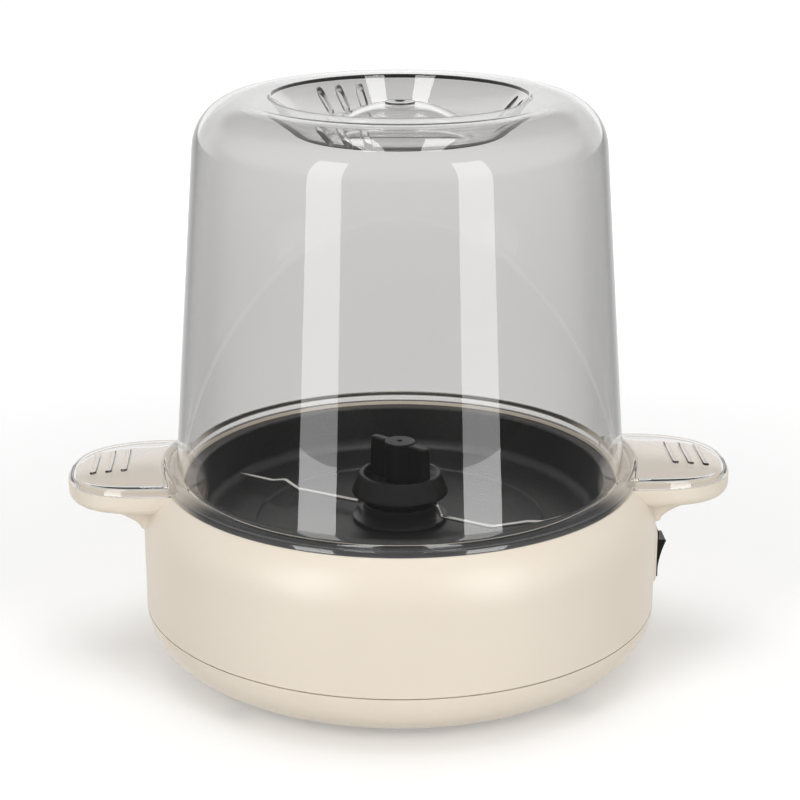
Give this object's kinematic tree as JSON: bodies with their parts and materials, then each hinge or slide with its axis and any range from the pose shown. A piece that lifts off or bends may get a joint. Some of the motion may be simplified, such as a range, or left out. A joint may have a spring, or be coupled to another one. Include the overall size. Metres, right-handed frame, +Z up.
{
  "type": "popcorn maker",
  "caption": "Table-top popcorn maker: round cream base with a stirred non-stick pan, motor-driven wire under a screw-down knob, and a clear lift-off dome that doubles as the serving bowl.",
  "frame": {"origin": "on the table under the middle of the base", "axes": "+X to the right, through the handle on the switch's side; -Y to the front; +Z up, along the stirrer's shaft"},
  "size_m": [0.283, 0.22, 0.2415],
  "materials": {
    "cream_plastic": "fine satin moulding texture",
    "clear_plastic": "clear, polished",
    "black_plastic": "satin moulded",
    "switch_plastic": "semi-gloss",
    "pan_coating": "black non-stick coating",
    "steel": "drawn and pressed steel",
    "screw_steel": "zinc-plated",
    "motor_steel": "plated sheet",
    "brass": "turned",
    "block_plastic": "moulded",
    "lead_rubber": "silicone insulation",
    "foot_rubber": "moulded rubber"
  },
  "bodies": {
    "base": {"upper_housing": "cream_plastic", "bottom_cover": "cream_plastic", "cord_gland": "black_plastic", "gland_nut": "black_plastic", "switch_case": "switch_plastic", "pan": "pan_coating", "heat_shield": "steel", "fuse_clip": "steel", "heating_element": "steel", "pan_bracket_1": "steel", "pan_bracket_2": "steel", "pan_bracket_3": "steel", "thermal_fuse": "steel", "cover_screws": "screw_steel", "bracket_screws": "screw_steel", "motor_screws": "screw_steel", "gear_motor": "motor_steel", "shaft_bush": "brass", "switch_terminals": "brass", "terminal_block": "block_plastic", "thermostat": "block_plastic", "inner_leads": "lead_rubber", "foot_1": "foot_rubber", "foot_2": "foot_rubber", "foot_3": "foot_rubber", "foot_4": "foot_rubber"},
    "stirrer": {"motor_spindle": "steel", "drive_coupling": "black_plastic", "drive_shaft": "steel", "shaft_clip": "steel", "stir_hub": "black_plastic", "stir_wire": "steel"},
    "washer": {"knob_washer": "steel"},
    "knob": {"stir_knob": "black_plastic", "knob_insert": "brass"},
    "rocker": {"switch_rocker": "switch_plastic"},
    "dome": {"dome_cover": "clear_plastic", "well_dish": "clear_plastic"}
  },
  "joints": [
    {"name": "dome_lift", "type": "slide", "parent": "base", "child": "dome", "axis": [0, 0, 1], "range_m": [0, 0.2]},
    {"name": "stirrer_spin", "type": "hinge", "parent": "base", "child": "stirrer", "pos_m": [0, 0, 0.06], "axis": [0, 0, 1], "continuous": true},
    {"name": "knob_rise", "type": "slide", "parent": "stirrer", "child": "washer", "axis": [0, 0, 1], "range_m": [0, 0.01]},
    {"name": "knob_turn", "type": "hinge", "parent": "washer", "child": "knob", "pos_m": [0, 0, 0.08], "axis": [0, 0, 1], "range_deg": [0, 2880]},
    {"name": "switch_rock", "type": "hinge", "parent": "base", "child": "rocker", "pos_m": [0.1095, 0, 0.0413], "axis": [0, -1, 0], "range_deg": [0, 28]}
  ],
  "couplings": [
    {"joint": "knob_rise", "follows": "knob_turn", "m_per_rad": 0.00019894}
  ]
}
